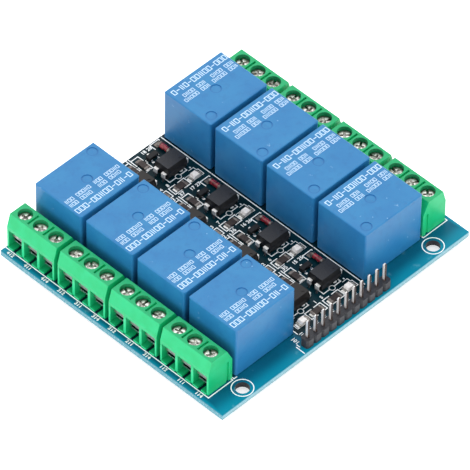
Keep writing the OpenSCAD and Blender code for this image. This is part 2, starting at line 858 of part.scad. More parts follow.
// The lamp: a flat base with a lens moulded on it
module led_body() {
    base_l = chip_l - 2*chip_end_l;
    lens_l = base_l - 2*lens_inset;
    color("#e8ece4") {
        translate([0, 0, lamp_base_h/2]) cube([base_l, chip_w, lamp_base_h], center = true);
        profile_xz(chip_w) polygon([
            [-base_l/2, lamp_base_h/2], [base_l/2, lamp_base_h/2], [base_l/2, lamp_base_h],
            [lens_l/2, led_h], [-lens_l/2, led_h], [-base_l/2, lamp_base_h]
        ]);
    }
}

module at_resistors(i) {
    at_channel(i, base_resistor_x, base_resistor_y) rotate([0, 0, 90]) children();
    at_channel(i, lamp_resistor_x, lamp_y) children();
}

// ---- Nodes ----

circuit_board();
for (i = all_channels) {
    at_relay(i) relay_case();
    at_relay(i) relay_base();
    at_block(i) terminal_housing();
    at_channel(i, opto_x, opto_y) optocoupler();
    at_relay(i) relay_coil();  // relay_coils
    at_relay(i) relay_yoke();  // relay_yokes
    at_relay(i) relay_armature();  // relay_armatures
    at_relay(i) relay_contact_spring();  // relay_contact_springs
    at_relay(i) relay_terminals();
    at_opto_leads(i) optocoupler_lead();  // optocoupler_leads
    at_channel(i, transistor_x, transistor_y) transistor();  // transistors
    at_channel(i, transistor_x, transistor_y) transistor_leads();
    at_channel(i, diode_x, diode_y) diode_body();  // diode_glass
    at_channel(i, diode_x, diode_y) diode_ends();  // diode_caps
    at_channel(i, lamp_x, lamp_y) led_body();  // leds
    at_channel(i, lamp_x, lamp_y) color("#d5d8da") chip_ends(lamp_base_h);  // led_ends
    at_resistors(i) resistor_body();  // resistors
    at_resistors(i) color("#d5d8da") chip_ends(chip_h);  // resistor_ends
}
terminal_screws(left_channels);  // terminal_screws_left
terminal_screws(right_channels);  // terminal_screws_right
clamps(left_channels);  // terminal_clamps_left
clamps(right_channels);  // terminal_clamps_right
wire_guards(left_channels);  // wire_guards_left
wire_guards(right_channels);  // wire_guards_right
header_strip();
header_pins();
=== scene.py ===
# %% [markdown]
# # A relay module board
# Eight sealed relays stand in two rows on a circuit board, with green screw terminals outside them and a
# strip of small driver parts between them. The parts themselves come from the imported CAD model, which stays
# as it is. This script gives every part its surface, and adds what is too fine for construction: solder,
# white print, covered copper tracks, and the ink on the relays.

import math
from functools import partial

import bpy
from mathutils import Matrix, Vector


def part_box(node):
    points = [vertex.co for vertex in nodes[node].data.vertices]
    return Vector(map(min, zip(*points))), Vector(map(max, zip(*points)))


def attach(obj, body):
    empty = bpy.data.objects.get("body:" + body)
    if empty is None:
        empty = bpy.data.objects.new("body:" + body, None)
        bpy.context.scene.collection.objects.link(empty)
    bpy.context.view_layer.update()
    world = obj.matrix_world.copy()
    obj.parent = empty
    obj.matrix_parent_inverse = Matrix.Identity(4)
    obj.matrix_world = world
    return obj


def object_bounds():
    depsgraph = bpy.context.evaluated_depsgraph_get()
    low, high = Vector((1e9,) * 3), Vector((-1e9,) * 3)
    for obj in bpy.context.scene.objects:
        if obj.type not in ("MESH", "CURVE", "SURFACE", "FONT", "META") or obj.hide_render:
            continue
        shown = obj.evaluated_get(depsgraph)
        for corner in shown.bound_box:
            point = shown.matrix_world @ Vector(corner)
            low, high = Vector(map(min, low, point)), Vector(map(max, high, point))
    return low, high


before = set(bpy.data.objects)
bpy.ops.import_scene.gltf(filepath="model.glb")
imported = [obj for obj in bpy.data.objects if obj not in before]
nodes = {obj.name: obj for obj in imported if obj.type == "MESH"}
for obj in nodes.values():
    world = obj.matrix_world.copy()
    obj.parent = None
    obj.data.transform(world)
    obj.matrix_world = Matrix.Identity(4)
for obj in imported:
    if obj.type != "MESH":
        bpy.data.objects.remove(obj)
cad_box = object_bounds()
print("CAD nodes:", len(nodes))

# %% [markdown]
# ## Measures
# Every place comes from the CAD nodes, so print and solder follow if a part moves. The model is in metres, and
# such fine things are easier to read in millimetres, so `MM` stands between the two. Channels 1 to 4 are the
# left-hand relays from front to back, and 5 to 8 the right-hand ones. The rows mirror each other about the
# middle of the driver strip, and many places are given as a distance from there.

# %% Measures taken from the model
MM = 0.001
LEFT_CHANNELS = (1, 2, 3, 4)
RIGHT_CHANNELS = (5, 6, 7, 8)
CHANNELS = LEFT_CHANNELS + RIGHT_CHANNELS


def corners(node):
    """The lowest and the highest corner of a CAD node in millimetres."""
    low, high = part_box(node)
    return low / MM, high / MM


def middle(node):
    low, high = corners(node)
    return (low + high) / 2


def side_of(channel):
    """-1 for the left-hand row and 1 for the right-hand row."""
    return -1 if channel in LEFT_CHANNELS else 1


board_low, board_high = corners("circuit_board")
BOARD_TOP = board_high.z
BOARD_BOTTOM = board_low.z
relay_middles = {i: middle(f"relay_case_{i}") for i in CHANNELS}
RELAY_TOP = corners("relay_case_1")[1].z
STRIP_X = (relay_middles[1].x + relay_middles[5].x) / 2
CHANNEL_PITCH = relay_middles[2].y - relay_middles[1].y
# The mounting holes are part of the board's mesh, so their places are written out.
HOLE_X = 31.55
HOLE_Y = -33.5
print("board", [round(v, 2) for v in board_high - board_low], "mm, strip middle at", round(STRIP_X, 2))

# %% [markdown]
# ## Camera
# A long lens from a good distance keeps the board's edges nearly parallel, as in a catalogue. The camera looks
# down on the corner between the header edge and the left-hand terminals. Its place could be typed in, but an
# azimuth, an elevation and a distance from the object are easier to judge and to change. The small roll about
# its own axis makes the board lie slightly askew.

# %% Camera
CAMERA_TARGET = Vector((-1.0, -0.85, 5.0))
CAMERA_DISTANCE = 1581.2
CAMERA_AZIMUTH = math.radians(-45.97)
CAMERA_ELEVATION = math.radians(46.63)
CAMERA_ROLL = math.radians(0.88)
CAMERA_LENS = 522

turn = Matrix.Rotation(CAMERA_AZIMUTH, 4, "Z") @ Matrix.Rotation(math.pi / 2 - CAMERA_ELEVATION, 4, "X")
turn = turn @ Matrix.Rotation(CAMERA_ROLL, 4, "Z")
backwards = turn.to_3x3() @ Vector((0, 0, 1))
bpy.ops.object.camera_add()
camera = bpy.context.object
camera.matrix_world = Matrix.Translation((CAMERA_TARGET + backwards * CAMERA_DISTANCE) * MM) @ turn
camera.data.lens = CAMERA_LENS
camera.data.clip_end = 10
bpy.context.scene.camera = camera
print("camera at", [round(v / MM) for v in camera.location], "mm")

# %% [markdown]
# ## Colours and nodes
# A colour is written the way a paint chart gives it, and turned into the linear light that the renderer works
# in. A material is a tree of nodes. Each node could be made with four or five lines of its own, but a material
# here has dozens, so one function adds any of them with its settings and links. The table says what Blender
# calls each kind, which inputs are given and in which order, and which output is passed on. `rise` is 0 below
# its first limit and 1 above its second, with a smooth rise between them, and most patterns are made of it.
# Two short chains are shared by most materials: clouds of colour, and a fine relief.
#
# Every material measures in millimetres on the object itself, so a pattern has its real size and stays with
# the part. A noise of scale 1 / 7 has clouds about 7 mm across.

# %% Colour and node helpers
SPECULAR_LEVEL = 0.38  # a little under the usual 0.5, for surfaces that handling has dulled
KINDS = {
    # short word: (Blender's name, inputs in order, output or None for all, settings)
    "coordinates": ("ShaderNodeTexCoord", (), "Object", {}),
    "mapping": ("ShaderNodeMapping", ("Vector", "Scale"), 0, {}),
    "facing": ("ShaderNodeNewGeometry", (), "True Normal", {}),
    "separate": ("ShaderNodeSeparateXYZ", (0,), None, {}),
    "separate_color": ("ShaderNodeSeparateColor", (0,), None, {}),
    "noise": ("ShaderNodeTexNoise", ("Vector", "Scale", "Detail"), 0, {}),
    "cells": ("ShaderNodeTexVoronoi", ("Vector", "Scale"), None, {}),
    "wave": ("ShaderNodeTexWave", ("Vector", "Scale", "Distortion"), 1, {}),
    "rise": ("ShaderNodeMapRange", ("Value", "From Min", "From Max"), 0, {"interpolation_type": "SMOOTHSTEP"}),
    "blend": ("ShaderNodeMix", (0, 6, 7), 2, {"data_type": "RGBA"}),
    "bump": ("ShaderNodeBump", ("Height", "Distance"), "Normal", {}),
    "light_path": ("ShaderNodeLightPath", (), None, {}),
    "emission": ("ShaderNodeEmission", ("Strength",), 0, {}),
    "background": ("ShaderNodeBackground", ("Color", "Strength"), 0, {}),
    "add_shaders": ("ShaderNodeAddShader", (0, 1), 0, {}),
    "mix_shaders": ("ShaderNodeMixShader", (0, 1, 2), 0, {}),
}
for operation in ("ADD", "SUBTRACT", "MULTIPLY", "MAXIMUM", "ABSOLUTE", "SIGN", "SQRT", "WRAP", "LESS_THAN",
                  "GREATER_THAN"):
    KINDS[operation] = ("ShaderNodeMath", (0, 1, 2), 0, {"operation": operation})


def srgb(code):
    """A colour such as "#2a6fb0" as linear red, green, blue and alpha."""
    parts = [int(code[i:i + 2], 16) / 255 for i in (1, 3, 5)]
    linear = [p / 12.92 if p <= 0.04045 else ((p + 0.055) / 1.055) ** 2.4 for p in parts]
    return (*linear, 1.0)


def add_node(tree, kind, *values, to=None):
    """Adds a node and passes on its output. A value is a number, a colour code or another node's output."""
    blender_name, sockets, output, settings = KINDS[kind]
    node = tree.nodes.new(blender_name)
    for name, setting in settings.items():
        setattr(node, name, setting)
    for socket, value in zip(sockets, values):
        if isinstance(value, bpy.types.NodeSocket):
            tree.links.new(value, node.inputs[socket])
        else:
            node.inputs[socket].default_value = srgb(value) if isinstance(value, str) else value
    if output is None:
        return node.outputs
    if to is not None:
        tree.links.new(node.outputs[output], to)
    return node.outputs[output]


def new_material(name, color, roughness, **shader):
    """A material, what adds nodes to it, its shader, and object coordinates in millimetres for its patterns."""
    material = bpy.data.materials.new(name)
    material.use_nodes = True
    surface = material.node_tree.nodes["Principled BSDF"]
    surface.inputs["Base Color"].default_value = srgb(color)
    surface.inputs["Roughness"].default_value = roughness
    surface.inputs["Specular IOR Level"].default_value = SPECULAR_LEVEL
    for socket, value in shader.items():
        surface.inputs[socket.replace("_", " ")].default_value = value
    add = partial(add_node, material.node_tree)
    place = add("mapping", add("coordinates"), (1 / MM, 1 / MM, 1 / MM))
    return material, add, surface, place


def clouds(add, place, size_mm, low, high, first=0.3, last=0.7, to=None):
    """A colour that drifts between two tones, in clouds about size_mm across."""
    return add("blend", add("rise", add("noise", place, 1 / size_mm, 3.0), first, last), low, high, to=to)


def relief(add, surface, place, size_mm, depth_mm):
    """A random relief, as if its grains of size_mm stood depth_mm out of the surface."""
    add("bump", add("noise", place, 1 / size_mm, 3.0), depth_mm * MM, to=surface.inputs["Normal"])


print("kinds of node:", len(KINDS))

# %% [markdown]
# ## Solder mask
# The board is glass cloth in epoxy, with a teal solder mask over both faces. Its tone is partly painted light
# and shade: the mask is a deep teal round the relays, painted shade makes it nearly black over the driver strip
# and darker under the wire entries and between the relays, and painted light makes it lighter in the last few
# millimetres before the edge. A thin haze of flux is left in patches. Each tone could be a material of its own,
# but then the CAD mesh would have to be cut up, so one material picks its tone by place.

# %% Solder mask
def mask_color(add, place):
    x, y, z = add("separate", place)
    from_strip = add("ABSOLUTE", add("SUBTRACT", x, STRIP_X))
    to_side = add("SUBTRACT", board_high.x, add("ABSOLUTE", x))
    to_end = add("SUBTRACT", board_high.y, add("ABSOLUTE", y))
    drift = add("noise", place, 1 / 7.0, 3.0)
    mask = add("blend", add("rise", drift, 0.35, 0.65), "#03546d", "#045b76")
    # Painted light: the mask turns lighter in the last few millimetres before the board's edges.
    light = add("MAXIMUM", add("rise", to_end, 4.5, 0.5), add("rise", to_side, 1.2, 0.1))
    mask = add("blend", light, mask, "#047f99")
    haze = add("MULTIPLY", add("rise", add("noise", place, 1 / 3.2, 5.0), 0.6, 0.75), 0.22)
    mask = add("blend", haze, mask, "#8fc6d4")
    # Painted shade: the mask is nearly black over the driver strip between the relay rows.
    in_strip = add("MULTIPLY", add("rise", from_strip, 12.0, 10.8), add("rise", y, -33.5, -30.5))
    mask = add("blend", in_strip, mask, add("blend", add("rise", drift, 0.4, 0.6), "#021f26", "#022a34"))

    def covered(inner, outer, front):
        """1 on the board's top between two distances from the strip, from a front line backwards."""
        across_row = add("MULTIPLY", add("rise", from_strip, inner - 0.3, inner),
                         add("rise", from_strip, outer, outer - 0.3))
        along_row = add("MULTIPLY", add("rise", y, front, front + 0.3), add("GREATER_THAN", z, 1.0))
        return add("MULTIPLY", across_row, along_row)

    # Painted shade: the board is darker under the wire entries and between the relays.
    relay_out = corners("relay_case_5")[1].x - STRIP_X
    wire_face = corners("terminal_housing_5")[1].x - STRIP_X
    under_entries = covered(relay_out + 0.3, wire_face + 0.1, corners("terminal_housing_1")[0].y)
    mask = add("blend", under_entries, mask, "#05262c")
    between_relays = covered(11.4, relay_out + 0.3, corners("relay_case_1")[0].y + 0.3)
    return add("blend", between_relays, mask, "#03222f")


# %% [markdown]
# ## Sawn edges
# The board's edges show the bare laminate: pale cyan just under the mask, greyer below, with the ends of the
# glass yarns as fine specks. The walls of the mounting holes are painted dark, as painted shade inside the holes.
# Which way a face points tells an edge from a top, so both stay on the one mesh. The cloth's weave shows
# through the mask as a faint relief. It has about 17 yarns to the centimetre, so it repeats every 0.6 mm.

# %% Board material
YARN_PITCH = 0.6
WAVES_IN_ONE = 3.2  # how many bands Blender's wave texture has in one unit of its scale


def direction(add):
    """The three parts of the direction that a face points in."""
    return add("separate", add("facing"))


def distance(add, first, second):
    """The length of the hypotenuse over two numbers."""
    squares = add("ADD", add("MULTIPLY", first, first), add("MULTIPLY", second, second))
    return add("SQRT", squares)


def edge_color(add, place):
    x, y, z = add("separate", place)
    core = add("blend", add("rise", z, 0.3, 1.0), "#84a9b2", "#83b8c7")
    # Painted shade: edges that face left and right are darker than those that face front and back.
    core = add("blend", add("rise", add("ABSOLUTE", direction(add)["X"]), 0.4, 0.6), core, "#5a96a6")
    core = clouds(add, place, 0.4, core, "#a0c4cd", 0.45, 0.75)
    rim = add("blend", add("rise", z, 1.2, 1.5), core, "#1f7c92")
    # Painted shade: the walls of the mounting holes are darkened.
    from_hole = distance(add, add("SUBTRACT", add("ABSOLUTE", x), HOLE_X), add("SUBTRACT", y, HOLE_Y))
    return add("blend", add("rise", from_hole, 2.3, 2.0), rim, "#333338")


def make_board_material():
    material, add, surface, place = new_material("solder_mask_on_glass_epoxy", "#04738e", 0.34,
                                                 Specular_IOR_Level=0.12)
    flat = add("rise", add("ABSOLUTE", direction(add)["Z"]), 0.4, 0.6)
    add("blend", flat, edge_color(add, place), mask_color(add, place), to=surface.inputs["Base Color"])
    weave = add("wave", place, 1 / (YARN_PITCH * WAVES_IN_ONE), 1.5)
    add("bump", weave, 0.0015 * MM, to=surface.inputs["Normal"])
    return material


board_mask = make_board_material()
print("board material:", len(board_mask.node_tree.nodes), "nodes")

# %% [markdown]
# ## Relay cases
# The cases are moulded in dyed polyester, with a fine spark-eroded finish from the mould: a semi-gloss blue
# that is a little cloudy, with specks of dust and soft lighter blotches that are painted reflections. A darker
# ring of painted shade goes round each of the two ejector marks, where their shallow recesses are shaded. The
# rings could be drawn as thin pieces, but painted shade has no thickness, so they are colour. All relays share
# the material: it finds a point's place within its own relay, and the two rows are turned half round.

# %% Relay material
EJECTOR_MARKS = ((-0.12, -0.15), (-7.12, -5.6))


def place_in_channel(add, place, from_strip, row_y):
    """Where a point lies in its own channel: outwards from a distance off the strip, and along from row_y."""
    x, y, _ = add("separate", place)
    off_middle = add("SUBTRACT", x, STRIP_X)
    outwards = add("SUBTRACT", add("ABSOLUTE", off_middle), from_strip)
    along = add("WRAP", add("SUBTRACT", y, row_y), CHANNEL_PITCH / 2, -CHANNEL_PITCH / 2)
    return outwards, add("MULTIPLY", along, add("SIGN", off_middle))


def make_relay_material():
    material, add, surface, place = new_material("moulded_polyester", "#2674aa", 0.34)
    color = clouds(add, place, 6.0, "#2471a8", "#2978ac")
    speck = add("cells", place, 1 / 2.2)
    chance = add("rise", add("separate_color", speck["Color"])[0], 0.80, 0.95)
    dust = add("MULTIPLY", add("rise", speck["Distance"], 0.085, 0.03), chance)
    color = add("blend", dust, color, "#8db9dc")
    # Painted reflections: soft lighter blotches, spread at random over the case.
    reflection_blotch = add("rise", add("cells", place, 1 / 4.5)["Distance"], 0.16, 0.02)
    reflection_smear = add("MULTIPLY", reflection_blotch, add("rise", add("noise", place, 1 / 0.5, 3.0), 0.5, 0.7))
    color = add("blend", add("MULTIPLY", reflection_smear, 0.75), color, "#8fb6d6")
    cloud = add("MULTIPLY", add("rise", add("noise", place, 1 / 1.6, 5.0), 0.5, 0.7), 0.25)
    color = add("blend", cloud, color, "#205f96")
    top = add("GREATER_THAN", add("separate", place)["Z"], RELAY_TOP - 0.3)
    outwards, along = place_in_channel(add, place, relay_middles[5].x - STRIP_X, relay_middles[1].y)
    # Painted shade: a darker ring round each ejector mark on the top, where its shallow recess is shaded.
    for mark_out, mark_along in EJECTOR_MARKS:
        off = distance(add, add("SUBTRACT", outwards, mark_out), add("SUBTRACT", along, mark_along))
        ring = add("MULTIPLY", add("rise", off, 1.0, 1.25), add("rise", off, 1.5, 1.4))
        color = add("blend", add("MULTIPLY", top, ring), color, "#1c68a2")
    material.node_tree.links.new(color, surface.inputs["Base Color"])
    relief(add, surface, place, 0.3, 0.003)
    return material


relay_plastic = make_relay_material()
print("relay material:", len(relay_plastic.node_tree.nodes), "nodes")

# %% [markdown]
# ## Terminal blocks
# The blocks are moulded in green polyamide, which is slightly translucent: light spreads about half a
# millimetre inside it. Painted light makes the thin walls beside the wire openings lighter, and painted shade
# makes the top darker. The walls of the screw wells are painted darker, as painted shade with grime from the
# screws. A well's wall could be picked by its faces, but the distance from the nearest screw's axis does it for
# all 24 at once.

# %% Terminal material
POLE_PITCH = 5.08
SCREW_FROM_STRIP = middle("terminal_screws_right").x - STRIP_X
FIRST_BLOCK_Y = middle("terminal_housing_1").y
WELL_R = 1.83


def from_screw(add, place):
    """How far a point is from the axis of the nearest terminal screw."""
    outwards, along = place_in_channel(add, place, SCREW_FROM_STRIP, FIRST_BLOCK_Y)
    return distance(add, outwards, add("WRAP", along, POLE_PITCH / 2, -POLE_PITCH / 2))


def make_terminal_material():
    material, add, surface, place = new_material("green_polyamide", "#12b975", 0.4, Subsurface_Weight=0.12,
                                                 Subsurface_Scale=0.6 * MM)
    height, faces = add("separate", place)["Z"], direction(add)
    color = clouds(add, place, 3.0, "#0fb56f", "#16bd7a")
    # Painted light: the thin walls beside the wire openings are lighter.
    wall = add("MULTIPLY", add("rise", height, 7.0, 5.8), add("rise", add("ABSOLUTE", faces["X"]), 0.5, 0.9))
    color = add("blend", wall, color, "#28cd8a")
    # Painted shade: faces that look upwards are darker.
    color = add("blend", add("rise", faces["Z"], 0.6, 0.9), color, "#0ca366")
    # Painted shade, with grime from the screws: the walls of the screw wells are darker.
    well = add("MULTIPLY", add("rise", from_screw(add, place), WELL_R + 0.1, WELL_R + 0.03),
               add("rise", faces["Z"], 0.6, 0.4))
    add("blend", well, color, "#0a9059", to=surface.inputs["Base Color"])
    relief(add, surface, place, 0.25, 0.004)
    return material


green_polyamide = make_terminal_material()
print("terminal material:", len(green_polyamide.node_tree.nodes), "nodes")

# %% [markdown]
# ## Optocouplers
# Their bodies are moulded in filled epoxy, a matt charcoal. The mould's two halves meet in a fine pale seam
# round the middle, and the sides are painted darker than the top, as painted shade. The left-hand row comes
# from a browner batch of compound.

# %% Optocoupler material
def make_epoxy():
    material, add, surface, place = new_material("moulded_epoxy", "#1f2025", 0.42)
    x, _, z = add("separate", place)
    color = clouds(add, place, 0.3, "#1d1e23", "#27282d")
    # Painted shade: the sides are darker than the top.
    color = add("blend", add("rise", direction(add)["Z"], 0.8, 0.5), color, "#121215")
    seam = add("MULTIPLY", add("rise", z, 3.7, 3.8), add("rise", z, 4.0, 3.9))
    color = add("blend", seam, color, "#2e2e34")
    add("blend", add("LESS_THAN", x, STRIP_X), color, "#16110f", to=surface.inputs["Base Color"])
    relief(add, surface, place, 0.1, 0.004)
    return material


epoxy = make_epoxy()
print("optocoupler material:", len(epoxy.node_tree.nodes), "nodes")

# %% [markdown]
# ## Quiet plastics and metals
# Most small parts are of one plain material. Even those are never one flat colour: moulding, plating and
# handling leave clouds of two close tones, with a relief about a third as wide. One function makes them all
# from the two tones, the width of the clouds in millimetres, the roughness and the depth of the relief. Plated
# metals that have gone dull are given as part metal, which keeps some of their own grey in any light.

# %% Materials that only drift
def make_drifting(name, low, high, size_mm, roughness, depth_mm, **shader):
    """A surface whose colour drifts between two close tones, with a fine relief of the same grain."""
    material, add, surface, place = new_material(name, low, roughness, **shader)
    clouds(add, place, size_mm, low, high, to=surface.inputs["Base Color"])
    relief(add, surface, place, size_mm / 3, depth_mm)
    return material


# Moulded polyamide: an even, slightly soft black on the header strip.
header_plastic = make_drifting("black_polyamide", "#26262b", "#333338", 0.5, 0.5, 0.003)
# Pressed phenolic: a denser, bluish black under the relay cases.
base_plastic = make_drifting("black_phenolic", "#101215", "#191b1f", 0.6, 0.5, 0.003)
# Filled epoxy with a matt mould finish: the deepest black, on the transistors.
small_epoxy = make_drifting("transistor_epoxy", "#0f0f12", "#17171b", 0.3, 0.6, 0.003)
# Cast resin, clouded to spread the lamp's light: a warm white.
lamp_resin = make_drifting("milky_resin", "#e9e1dc", "#fdfaf7", 0.5, 0.4, 0.003)
# Fired glaze over a resistor's film: brownish black.
chip_glaze = make_drifting("resistor_glaze", "#251c1a", "#382c28", 0.4, 0.45, 0.003)
# Tin over silver at the lamps' ends: pale and mottled by the iron.
lens_ends = make_drifting("tinned_lamp_ends", "#7d7a75", "#b8b5ae", 0.5, 0.45, 0.003, Metallic=0.5)
# The same on the resistors, duller and browner from flux.
chip_caps = make_drifting("tinned_chip_caps", "#5e5653", "#97908a", 0.6, 0.45, 0.003, Metallic=0.5)
# Copper-clad caps that seal the diodes' glass, dark with heat.
diode_caps = make_drifting("copper_clad_end_caps", "#5a4e49", "#8f8883", 0.8, 0.35, 0.003, Metallic=0.8)
# Bright tin plate on stamped brass: smooth grey-white.
tin = make_drifting("tin_plated_brass", "#b0b2b4", "#cfcfcf", 0.6, 0.24, 0.003, Metallic=1.0)
# Tinned spring steel of the wire guards, a little warmer.
guard_tin = make_drifting("stamped_tinned_steel", "#b5aaa4", "#cdc4be", 0.8, 0.3, 0.003, Metallic=1.0)
# Solder that set slowly under the board: silvery and almost smooth.
solder = make_drifting("soft_solder", "#bec0c2", "#d8d8d7", 0.3, 0.2, 0.004, Metallic=1.0)
# Enamelled winding wire: glossy red-brown.
winding = make_drifting("enamelled_copper_wire", "#8a411b", "#ae5e2d", 0.3, 0.3, 0.01, Metallic=1.0)
# Thinly plated soft iron of the relays' yokes: satin grey.
iron = make_drifting("plated_iron", "#898a8e", "#a0a1a3", 1.0, 0.35, 0.003, Metallic=1.0)
# Rolled bronze of the contact springs: satin gold-brown.
bronze = make_drifting("spring_bronze", "#a16b34", "#b8854c", 1.0, 0.3, 0.002, Metallic=1.0)
print("materials so far:", len(bpy.data.materials))

# %% [markdown]
# ## Screws
# The terminal screws are zinc plated. Their tops are rubbed bright in the tray and look mottled, and the heads
# are darker towards the rim. The rim could be a second material on its own faces, but the distance from the
# screw's axis needs no change to the mesh.

# %% Screw material
def make_screw_material():
    material, add, surface, place = new_material("zinc_plated_steel", "#cfcfcc", 0.32, Metallic=1.0)
    color = clouds(add, place, 0.7, "#8e8d86", "#f2f1ec", 0.35, 0.62)
    # The heads are darker towards the rim.
    rim = add("rise", from_screw(add, place), 1.15, 1.6)
    add("blend", rim, color, "#7c7d74", to=surface.inputs["Base Color"])
    relief(add, surface, place, 0.35, 0.01)
    return material


zinc = make_screw_material()
print("screw material:", len(zinc.node_tree.nodes), "nodes")

# %% [markdown]
# ## Pins, leads and glass
# The header's pins are cut from plated brass wire: the faces that look to the front and back are painted dark,
# as painted shade, and the foot is browner. The optocouplers' leads are dipped in tin, bright on the shoulders
# and painted darker down the legs, as painted shade. A diode is a glass tube, and its red-brown junction shows
# through. All three fade along their height or with the way a face points, so a blend by place does what masks
# would do on a painted model.

# %% Pin, lead and glass materials
def make_pin_material():
    material, add, surface, place = new_material("plated_brass_wire", "#f3eee8", 0.5, Metallic=0.45)
    # Drawing the wire leaves streaks along it, so the noise is twelve times as long as it is wide.
    streaks = add("noise", add("mapping", place, (6.0, 6.0, 0.5)), 1.0)
    color = add("blend", add("rise", streaks, 0.3, 0.7), "#efe8e2", "#fdfaf7")
    # Painted shade: the faces that look to the front and back are dark.
    color = add("blend", add("rise", add("ABSOLUTE", direction(add)["Y"]), 0.5, 0.9), color, "#332522")
    foot = add("rise", add("separate", place)["Z"], 4.9, 4.1)
    add("blend", foot, color, "#4f3a31", to=surface.inputs["Base Color"])
    add("bump", streaks, 0.002 * MM, to=surface.inputs["Normal"])
    return material


def make_lead_frame():
    material, add, surface, place = new_material("tin_dipped_lead_frame", "#f0efec", 0.5, Metallic=0.4)
    coat = clouds(add, place, 0.8, "#e3e2df", "#fcfbf9", 0.3, 0.6)
    # Painted shade: the legs are darker below the shoulders.
    leg = add("rise", add("separate", place)["Z"], 3.1, 2.5)
    add("blend", leg, coat, "#5f5e63", to=surface.inputs["Base Color"])
    relief(add, surface, place, 0.3, 0.003)
    return material


def make_diode_glass():
    material, add, surface, place = new_material("diode_glass", "#8e1f24", 0.08, Coat_Weight=0.5)
    clouds(add, place, 0.7, "#5e0c14", "#9c2c36", 0.35, 0.65, surface.inputs["Base Color"])
    relief(add, surface, place, 0.4, 0.002)
    return material


pin_metal = make_pin_material()
lead_frame = make_lead_frame()
diode_glass = make_diode_glass()
print("pin, lead and glass materials:", [len(m.node_tree.nodes) for m in (pin_metal, lead_frame, diode_glass)])

# %% [markdown]
# ## Every CAD node gets its material
# The nodes could be listed one by one, but numbered nodes such as relay_case_1 share a finish, so each node
# takes the longest key that its name starts with. The CAD meshes stay as they are, and only their material
# slots change.

# %% Give every CAD node its material
FINISHES = {
    "circuit_board": board_mask, "relay_case": relay_plastic, "relay_base": base_plastic,
    "relay_coils": winding, "relay_yokes": iron, "relay_armatures": iron, "relay_contact_springs": bronze,
    "relay_terminals": tin, "terminal_housing": green_polyamide, "terminal_screws": zinc,
    "terminal_clamps": tin, "wire_guards": guard_tin, "header_strip": header_plastic,
    "header_pins": pin_metal, "optocoupler_leads": lead_frame, "optocoupler": epoxy, "transistor_leads": tin,
    "transistors": small_epoxy, "diode_glass": diode_glass, "diode_caps": diode_caps, "led_ends": lens_ends,
    "leds": lamp_resin, "resistor_ends": chip_caps, "resistors": chip_glaze,
}
for name, node in nodes.items():
    longest = max((key for key in FINISHES if name.startswith(key)), key=len)
    node.data.materials.clear()
    node.data.materials.append(FINISHES[longest])
print("finished", len(nodes), "CAD nodes with", len(set(FINISHES.values())), "materials")

# %% [markdown]
# ## Ink and the other new surfaces
# The board's white print is a thick epoxy ink. The print on the relays is a thinner pad-printed ink that lets
# a little of the blue through. Copper tracks under the solder mask show as slightly lighter, slightly raised
# bands. Solder on the top is in two tones: bright with a painted reflection, and dull with painted shade.

# %% New surfaces
# Thick matt ink: an opaque white that softens the weave under it.
board_ink = make_drifting("white_epoxy_ink", "#f2f7f8", "#fdfefe", 0.3, 0.6, 0.002)
# Thin ink: pale blue, because the case shows through.
relay_ink = make_drifting("thin_pad_printed_ink", "#a9cbe8", "#cfe3f4", 0.25, 0.6, 0.001)
# Mask over copper: a lighter, slightly glossier teal.
covered_copper = make_drifting("mask_over_copper", "#08778e", "#118197", 1.0, 0.3, 0.002)
# Solder with painted shade: grey-brown and grainy.
shaded_solder = make_drifting("solder_with_painted_shade", "#605955", "#89817c", 0.4, 0.5, 0.004, Metallic=0.6)
# Solder with a painted reflection of a white room: nearly white.
lit_solder = make_drifting("solder_with_painted_reflection", "#e9e6e1", "#fdfbf8", 0.5, 0.4, 0.004, Metallic=0.2)
# Tin on the copper lands, dulled to a purplish grey by air.
land_tin = make_drifting("oxidised_tin_land", "#6c6771", "#99939c", 0.4, 0.5, 0.003, Metallic=0.4)
print("materials in all:", len(bpy.data.materials))

# %% [markdown]
# ## Drawing flat print
# Board print is a set of straight bars of ink, a few hundredths of a millimetre thick. It could be one curve
# with a width, but a curve thins out at sharp corners. Each bar is therefore a small square, added in edit mode
# and stretched to its length, and the whole drawing is extruded upwards once. Bars that lie on each other in
# one plane would flicker in the render, so a bent line's bars only meet. Rings are discs, inset by the width of
# the line, with the middle face taken out.

# %% Helpers for flat drawings
def select_only(piece):
    bpy.ops.object.select_all(action="DESELECT")
    piece.select_set(True)
    bpy.context.view_layer.objects.active = piece


def finish_piece(piece, name, material):
    """Names a piece, gives it its surface, applies its place and makes it ride on the board."""
    piece.name = name
    piece.data.materials.clear()
    piece.data.materials.append(material)
    select_only(piece)
    bpy.ops.object.transform_apply(location=True, rotation=True, scale=True)
    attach(piece, "root")
    return piece


def start_drawing():
    """An empty mesh at the origin, left in edit mode for bars and rings to be added to."""
    bpy.ops.object.select_all(action="DESELECT")
    bpy.ops.mesh.primitive_plane_add(size=MM)
    piece = bpy.context.object
    bpy.ops.object.mode_set(mode="EDIT")
    bpy.ops.mesh.select_mode(type="FACE")
    bpy.ops.mesh.select_all(action="SELECT")
    bpy.ops.mesh.delete(type="VERT")
    return piece


def add_bar(x0, y0, x1, y1, z, width):
    """A flat bar from one point to another, in millimetres."""
    length = math.hypot(x1 - x0, y1 - y0)
    place = Vector(((x0 + x1) / 2, (y0 + y1) / 2, z)) * MM
    bpy.ops.mesh.primitive_plane_add(size=MM, location=place)
    bpy.ops.transform.resize(value=(length, width, 1), center_override=place)
    angle = math.atan2(y1 - y0, x1 - x0)
    if angle:
        # With no window, the rotate operator turns the other way.
        bpy.ops.transform.rotate(value=-angle, orient_axis="Z", center_override=place)


